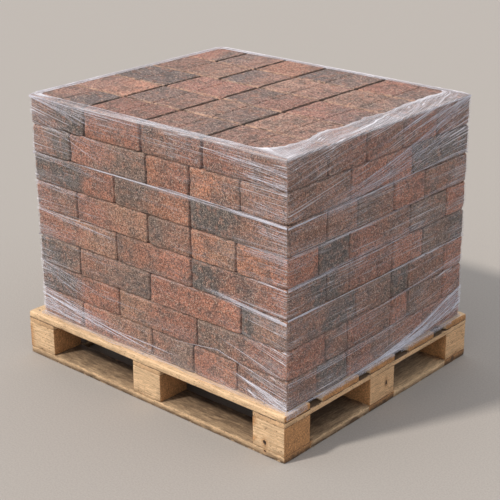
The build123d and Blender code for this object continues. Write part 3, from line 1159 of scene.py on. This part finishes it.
def build_tails(material):
    """Crumpled ends of film that lie from the sleeve's foot over the ends of the deck boards."""
    for n, (boards, shares, hang) in enumerate(tails):
        boxes = [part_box(boards[0]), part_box(boards[-1])]
        y0, y1 = (low[1] + share * (high[1] - low[1]) for (low, high), share in zip(boxes, shares))
        end, _, top = boxes[0][1]
        inner = load_high.x + film_offset + 1 * MM
        flat_part = end + tail_clearance - inner
        across = np.linspace(0, 1, round((y1 - y0) / tail_cell) + 1)
        down = np.linspace(0, 1, round((flat_part + hang) / tail_row) + 1)
        a, d = np.meshgrid(across, down, indexing="ij")
        ruffle = noise_at(spots(a * (y1 - y0) * 60 + n * 5, d * 1.3), 1.0, 4.0).reshape(a.shape)
        run = (flat_part + hang) * (1 + 0.35 * ruffle * (d > 0.6) * (d - 0.6)) * d
        x = inner + np.minimum(run, flat_part) + tail_ruffle * np.abs(ruffle) * (run > flat_part)
        fallen = np.maximum(run - flat_part, 0)
        z = top + tail_clearance - fallen + tail_ruffle * np.abs(ruffle) * (run < flat_part)
        y = y0 + (y1 - y0) * a + 2 * MM * ruffle * d
        index = np.arange(a.size).reshape(a.shape)
        corners = (index[:-1, :-1], index[:-1, 1:], index[1:, 1:], index[1:, :-1])
        quads = np.stack([corner.ravel() for corner in corners], axis=1)
        looks = {
            "flow": spots(y * 3 + 20, run + 0.3 * ruffle),
            "haze_and_sheen": tail_haze + 0.12 * np.abs(ruffle).ravel(),
            "creases_and_glints": np.full(a.size, tail_creases_and_glints),
        }
        name = f"stretch_film_tail_{n + 1}"
        tail = add_piece(name, spots(x, y, z), quads.tolist(), material, looks)
        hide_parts("stretch_film")


# Sharp folds on each side: the share and pull line where a bundle starts and ends, how far apart its
# strands are at each end in millimetres, how many strands, and the radius of a strand in millimetres
bundles = (
    ("front", (0.50, 0.604), (1.0, 0.5985), (4, 1.6), 10, 0.32),
    ("front", (0.78, 0.601), (1.0, 0.5985), (3, 2.2), 14, 0.65),
    ("front", (0.10, 0.602), (0.80, 0.602), (2.5, 2.5), 7, 0.35),
    ("right", (0.0, 0.600), (0.16, 0.604), (1.6, 1.2), 8, 0.7),
    ("right", (0.0, 0.600), (1.0, 0.604), (1.5, 1.5), 4, 0.36),
    ("back", (0.0, 0.60), (1.0, 0.60), (2, 2), 7, 0.8),
    ("left", (0.0, 0.60), (1.0, 0.60), (2, 2), 7, 0.8),
    ("right", (0.03, 0.605), (1.0, 0.69), (4, 44), 15, 0.30),
    ("right", (0.60, 0.730), (1.0, 0.694), (2, 2), 6, 0.62),
    ("right", (0.05, 0.61), (0.75, 0.63), (6, 16), 10, 0.26),
    ("right", (0.42, 0.755), (1.0, 0.757), (3, 3), 8, 0.6),
    ("right", (0.10, 0.65), (1.0, 0.66), (14, 22), 9, 0.28),
    ("right", (0.94, 0.014), (1.0, 0.022), (4, 7), 10, 0.9),
    ("front", (0.68, 0.306), (1.0, 0.300), (4, 1.8), 10, 0.55),
    ("front", (0.86, 0.402), (1.0, 0.398), (2, 1.5), 6, 0.45),
    ("right", (0.0, 0.402), (0.35, 0.405), (1.2, 2), 5, 0.38),
    ("right", (0.0, 0.302), (0.20, 0.304), (1.6, 1.4), 6, 0.6),
    ("right", (0.0, 0.302), (1.0, 0.304), (1.3, 1.3), 4, 0.30),
    ("right", (0.0, 0.503), (1.0, 0.506), (1.2, 1.6), 3, 0.24),
    ("right", (0.3, 0.204), (1.0, 0.206), (1.4, 3), 5, 0.30),
    ("back", (0.0, 0.302), (1.0, 0.302), (2, 2), 6, 0.7),
    ("left", (0.0, 0.298), (1.0, 0.298), (2, 2), 6, 0.7),
    ("front", (0.70, 0.775), (1.0, 0.765), (5, 9), 13, 0.30),
    ("front", (0.82, 0.745), (1.0, 0.735), (7, 9), 15, 0.30),
    ("front", (0.86, 0.655), (1.0, 0.640), (7, 9), 12, 0.27),
    ("front", (0.86, 0.570), (1.0, 0.562), (8, 10), 14, 0.27),
    ("front", (0.84, 0.500), (1.0, 0.500), (8, 11), 12, 0.25),
    ("right", (0.20, 0.665), (1.0, 0.694), (10, 9), 14, 0.30),
    ("front", (0.0, 0.70), (0.34, 0.66), (3, 26), 7, 0.26),
    ("front", (0.0, 0.775), (0.30, 0.742), (1.5, 13), 13, 0.34),
    ("front", (0.0, 0.79), (0.60, 0.785), (2, 4), 6, 0.34),
    ("front", (0.0, 0.60), (0.35, 0.575), (2, 9), 7, 0.24),
    ("front", (0.0, 0.50), (0.30, 0.485), (2, 9), 6, 0.24),
    ("front", (0.0, 0.40), (0.40, 0.375), (2, 9), 8, 0.26),
    ("front", (0.0, 0.20), (0.28, 0.150), (2, 12), 8, 0.26),
    ("front", (0.795, 0.063), (1.0, 0.055), (0.8, 7), 15, 0.48),
    ("front", (0.85, 0.035), (0.91, 0.026), (1.5, 4), 9, 0.6),
    ("front", (0.88, 0.05), (1.0, 0.045), (10, 16), 16, 0.45),
    ("front", (0.0, 0.075), (0.5, 0.012), (2, 2), 10, 0.48),
    ("front", (0.0, 0.045), (0.3, 0.02), (4, 4), 5, 0.35),
    ("front", (0.0, 0.185), (0.24, 0.115), (9, 16), 12, 0.25),
    ("front", (0.0, 0.095), (0.30, 0.045), (9, 13), 13, 0.36),
    ("front", (0.0, 0.030), (0.22, 0.012), (8, 5), 12, 0.46),
    ("front", (0.01, 0.06), (0.09, 0.035), (10, 12), 10, 0.50),
    ("front", (0.30, 0.035), (0.62, 0.030), (2, 3), 4, 0.38),
    ("front", (0.58, 0.088), (1.0, 0.118), (2, 3), 4, 0.30),
    ("right", (0.0, 0.003), (0.60, 0.006), (2, 3), 26, 0.55),
    ("right", (0.30, 0.004), (0.80, 0.010), (3, 7), 36, 0.74),
    ("right", (0.46, 0.010), (1.0, 0.024), (4, 20), 28, 0.60),
    ("right", (0.40, 0.016), (1.0, 0.050), (1.5, 4), 12, 0.60),
    ("right", (0.0, 0.11), (0.75, 0.105), (8, 9), 6, 0.27),
    ("right", (0.0, 0.40), (0.9, 0.41), (5, 8), 8, 0.3),
    ("back", (0.2, 0.05), (1.0, 0.02), (8, 20), 12, 0.6),
    ("left", (0.0, 0.65), (0.6, 0.7), (4, 20), 12, 0.5),
)
strand_step = 0.012
strand_sides = 4
strand_clearance = 1.2 * MM
strand_wander = 0.8 * MM
strand_margin = 1.5 * MM  # above the deck
strand_shortening = 0.35  # how much earlier a free end can be, as a share of the bundle's length
strand_narrowing = 6  # a free end gets thin over one part in this many of its strand
strand_tip = 0.12  # a free end's thickness, as a share of the middle's


def strand_points(side, begin, finish, spread, rng):
    """One strand's line along the film, wandering a little between its two ends, and its flow."""
    start, direction, normal, length = side_frame(side)
    count = max(6, round(abs(finish[0] - begin[0]) * length / strand_step))
    t = np.linspace(0, 1, count)
    share = begin[0] + (finish[0] - begin[0]) * t
    offset = rng.normal(0, 1)
    lean = rng.normal(0, 0.25)
    mean = begin[1] + (finish[1] - begin[1]) * t
    spacing = (spread[0] + (spread[1] - spread[0]) * t) * MM
    height = line_height(side, share, mean)
    wander = noise_at(spots(share * 5), 1.0, rng.uniform(0, 80))
    height = height + spacing * (offset + lean * np.sin(t * math.pi * rng.uniform(1, 3)) + 0.5 * wander)
    height = np.clip(height, strand_margin, load_high.z - deck_top - 1 * MM)
    off = film_offset + strand_clearance + strand_wander * wander
    base = start + direction * (share * length)[:, None] + normal * off[:, None]
    return spots(*base.T, deck_top + height), spots(side_starts[side] + share * length, height + offset)


def strand_taper(count, first, last):
    """How thick a strand is along its length: full at a corner of the load, and thin at a free end."""
    t = np.linspace(0, 1, count)
    ends = np.ones(count)
    if first > 0:
        ends = np.minimum(ends, t * strand_narrowing)
    if last < 1:
        ends = np.minimum(ends, (1 - t) * strand_narrowing)
    return strand_tip + (1 - strand_tip) * ends


def build_gathers(material):
    """The ropes and sharp folds, as bundles of fine tapered strands."""
    rng = np.random.default_rng(11)
    all_points, all_faces, all_flow = [], [], []
    start = 0
    for side, begin, finish, spread, count, radius in bundles:
        normal = side_frame(side)[2]
        outward = np.array([normal[0], normal[1], 0])
        for _ in range(count):
            free = np.array([begin[0] > 0, finish[0] < 1])
            shorten = rng.uniform(0, strand_shortening, 2) * (finish[0] - begin[0]) * free
            first = (begin[0] + shorten[0], begin[1])
            last = (finish[0] - shorten[1], finish[1])
            line, flow = strand_points(side, first, last, spread, rng)
            thick = radius * MM * rng.uniform(0.55, 1.3) * strand_taper(len(line), first[0], last[0])
            for n in range(strand_sides):
                angle = 2 * math.pi * n / strand_sides
                facing = outward * math.cos(angle) + np.array([0, 0, 1.0]) * math.sin(angle)
                all_points.append(line + facing * thick[:, None])
                all_flow.append(flow)
            for s in range(len(line) - 1):
                for n in range(strand_sides):
                    m = (n + 1) % strand_sides
                    a, b = start + n * len(line) + s, start + m * len(line) + s
                    all_faces.append((a, b, b + 1, a + 1))
            start += strand_sides * len(line)
    piece = add_piece(
        "stretch_film_gathers", np.concatenate(all_points), all_faces, material,
        {"flow": np.concatenate(all_flow)})
    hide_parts("stretch_film")


def build_floor():
    """A plain pale floor."""
    g = Graph("pale_floor")
    grain = g.noise(g.node("TexCoord").outputs["Object"], 180, 3, 0.6)
    material = g.finish(base_color=g.mix(g.step(grain, 0.35, 0.65), *floor_colours), roughness=0.9)
    mesh = bpy.data.meshes.new("floor")
    corners = [(x * floor_reach, y * floor_reach, 0) for x, y in ((-1, -1), (1, -1), (1, 1), (-1, 1))]
    mesh.from_pydata(corners, [], [(0, 1, 2, 3)])
    mesh.materials.append(material)
    floor = placed("floor", mesh)


def add_camera():
    """The camera, aimed at its target from its azimuth and elevation."""
    azimuth, elevation = math.radians(camera_azimuth), math.radians(camera_elevation)
    level = math.cos(elevation)
    away = Vector((math.sin(azimuth) * level, -math.cos(azimuth) * level, math.sin(elevation)))
    data = bpy.data.cameras.new("camera")
    data.lens = camera_lens
    data.sensor_width = sensor_width
    camera = placed("camera", data)
    camera.location = camera_target + away * camera_distance
    look = away.to_track_quat("Z", "Y").to_matrix()
    roll = Matrix.Rotation(math.radians(camera_roll), 3, "Z")
    camera.rotation_euler = (look @ roll).to_euler()
    scene.camera = camera


def add_lights():
    """A soft sun from the front left, and pale sky light."""
    sun = bpy.data.lights.new("sun", "SUN")
    sun.energy = sun_strength
    sun.angle = math.radians(sun_softness)
    sun.color = sun_colour
    placed("sun", sun).rotation_euler = to_sun.to_track_quat("Z", "Y").to_euler()
    world = bpy.data.worlds.new("studio")
    world.use_nodes = True
    tree = world.node_tree
    background = tree.nodes["Background"]
    background.inputs["Color"].default_value = sky_colour
    direction = tree.nodes.new("ShaderNodeTexCoord")
    height = tree.nodes.new("ShaderNodeSeparateXYZ")
    strength = tree.nodes.new("ShaderNodeMapRange")
    strength.inputs["To Min"].default_value = sky_strength_low
    strength.inputs["To Max"].default_value = sky_strength_high
    tree.links.new(direction.outputs["Generated"], height.inputs[0])
    tree.links.new(height.outputs["Z"], strength.inputs["Value"])
    tree.links.new(strength.outputs[0], background.inputs["Strength"])
    scene.world = world


scene.view_settings.view_transform = "Standard"
build_courses(concrete_material())
build_timber(timber_material())
clear_film = film_material()
build_film(clear_film)
build_tails(clear_film)
build_gathers(gather_material())
build_floor()
add_lights()
add_camera()
